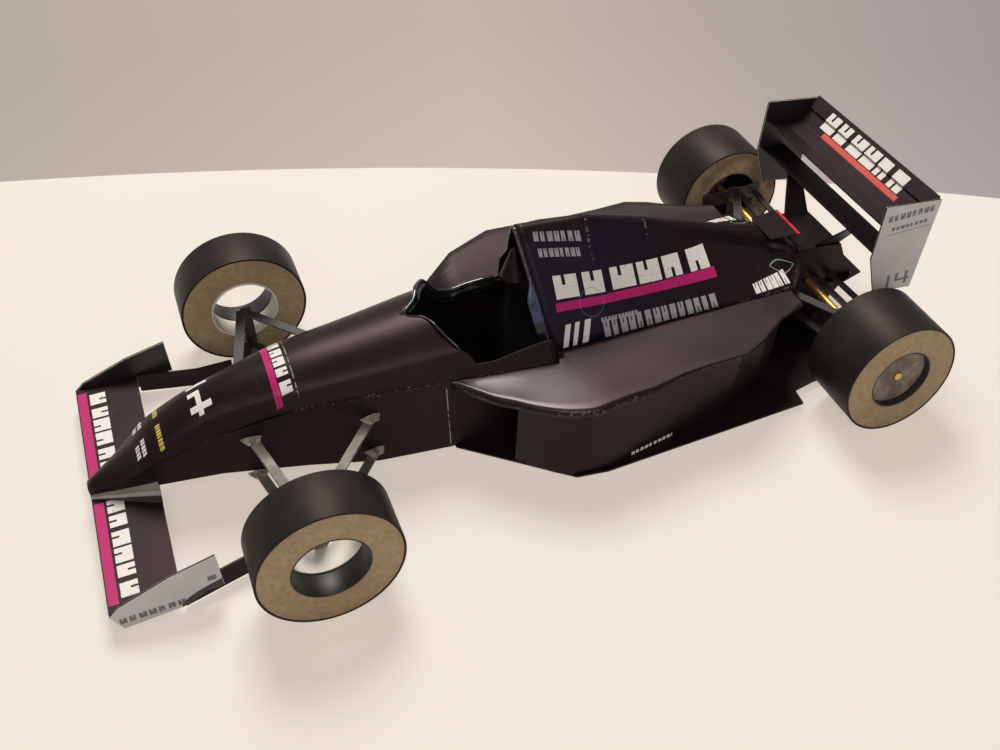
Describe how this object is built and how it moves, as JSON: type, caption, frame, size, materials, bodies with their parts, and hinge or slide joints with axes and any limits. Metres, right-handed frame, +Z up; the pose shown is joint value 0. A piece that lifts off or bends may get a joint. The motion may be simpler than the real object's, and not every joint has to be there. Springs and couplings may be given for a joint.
{
  "type": "card scale model of an open wheel racing car",
  "caption": "Folded card scale model of a single-seat open wheel racing car, with front and rear wings, sidepods, open cockpit and turning wheels.",
  "frame": {"origin": "on the floor under the middle of the car's bounding box", "axes": "+X forward towards the nose, +Y to the car's left, +Z up"},
  "size_m": [0.1807, 0.0888, 0.0446],
  "materials": {
    "body_card": "satin printed card",
    "tread_paper": "satin printed card",
    "greyboard": "raw greyboard",
    "hub_board": "raw greyboard",
    "barrel_paper": "satin printed card",
    "bare_paper": "uncoated paper",
    "gloss_tape": "glossy tape",
    "endplate_paper": "satin printed card",
    "arm_card": "card strip",
    "ledge_paper": "satin printed card",
    "head_paper": "satin printed card",
    "shaft_foil": "thin rod"
  },
  "bodies": {
    "chassis": {"engine_cover": "body_card", "floor": "body_card", "front_endplate_left": "endplate_paper", "front_endplate_right": "endplate_paper", "front_ledge": "ledge_paper", "front_sleeve_left": "bare_paper", "front_sleeve_right": "bare_paper", "front_upright_left": "arm_card", "front_upright_right": "arm_card", "front_vane_left": "body_card", "front_vane_right": "body_card", "front_wing": "body_card", "front_wishbone_lower_left": "arm_card", "front_wishbone_lower_right": "arm_card", "front_wishbone_upper_left": "arm_card", "front_wishbone_upper_right": "arm_card", "gearbox": "body_card", "headrest": "head_paper", "nose_cone": "body_card", "nose_top": "body_card", "rear_endplate_left": "endplate_paper", "rear_endplate_right": "endplate_paper", "rear_links_left": "arm_card", "rear_links_right": "arm_card", "rear_post_left": "body_card", "rear_post_right": "body_card", "rear_shaft_left": "shaft_foil", "rear_shaft_right": "shaft_foil", "rear_upright_left": "arm_card", "rear_upright_right": "arm_card", "rear_wing_flap": "body_card", "rear_wing_lower": "body_card", "rear_wing_main": "body_card", "rear_wishbone_lower_left": "arm_card", "rear_wishbone_lower_right": "arm_card", "rear_wishbone_upper_left": "arm_card", "rear_wishbone_upper_right": "arm_card", "roll_hoop": "gloss_tape", "seat_back": "body_card", "sidepod_left": "body_card", "sidepod_right": "body_card", "tail_flange": "body_card", "tail_plate": "body_card", "tub": "body_card", "windscreen": "gloss_tape"},
    "front_left_wheel": {"front_left_barrel": "barrel_paper", "front_left_rings": "greyboard", "front_left_tread": "tread_paper"},
    "front_right_wheel": {"front_right_barrel": "barrel_paper", "front_right_rings": "greyboard", "front_right_tread": "tread_paper"},
    "rear_left_wheel": {"rear_left_barrel": "barrel_paper", "rear_left_hub": "hub_board", "rear_left_rings": "greyboard", "rear_left_tread": "tread_paper"},
    "rear_right_wheel": {"rear_right_barrel": "barrel_paper", "rear_right_hub": "hub_board", "rear_right_rings": "greyboard", "rear_right_tread": "tread_paper"}
  },
  "joints": [
    {"name": "front_left_wheel_spin", "type": "hinge", "parent": "chassis", "child": "front_left_wheel", "pos_m": [0.0519, 0.0389, 0.01375], "axis": [0, 1, 0], "continuous": true},
    {"name": "front_right_wheel_spin", "type": "hinge", "parent": "chassis", "child": "front_right_wheel", "pos_m": [0.0519, -0.0389, 0.01375], "axis": [0, 1, 0], "continuous": true},
    {"name": "rear_left_wheel_spin", "type": "hinge", "parent": "chassis", "child": "rear_left_wheel", "pos_m": [-0.0713, 0.037, 0.01375], "axis": [0, 1, 0], "continuous": true},
    {"name": "rear_right_wheel_spin", "type": "hinge", "parent": "chassis", "child": "rear_right_wheel", "pos_m": [-0.0713, -0.037, 0.01375], "axis": [0, 1, 0], "continuous": true}
  ]
}
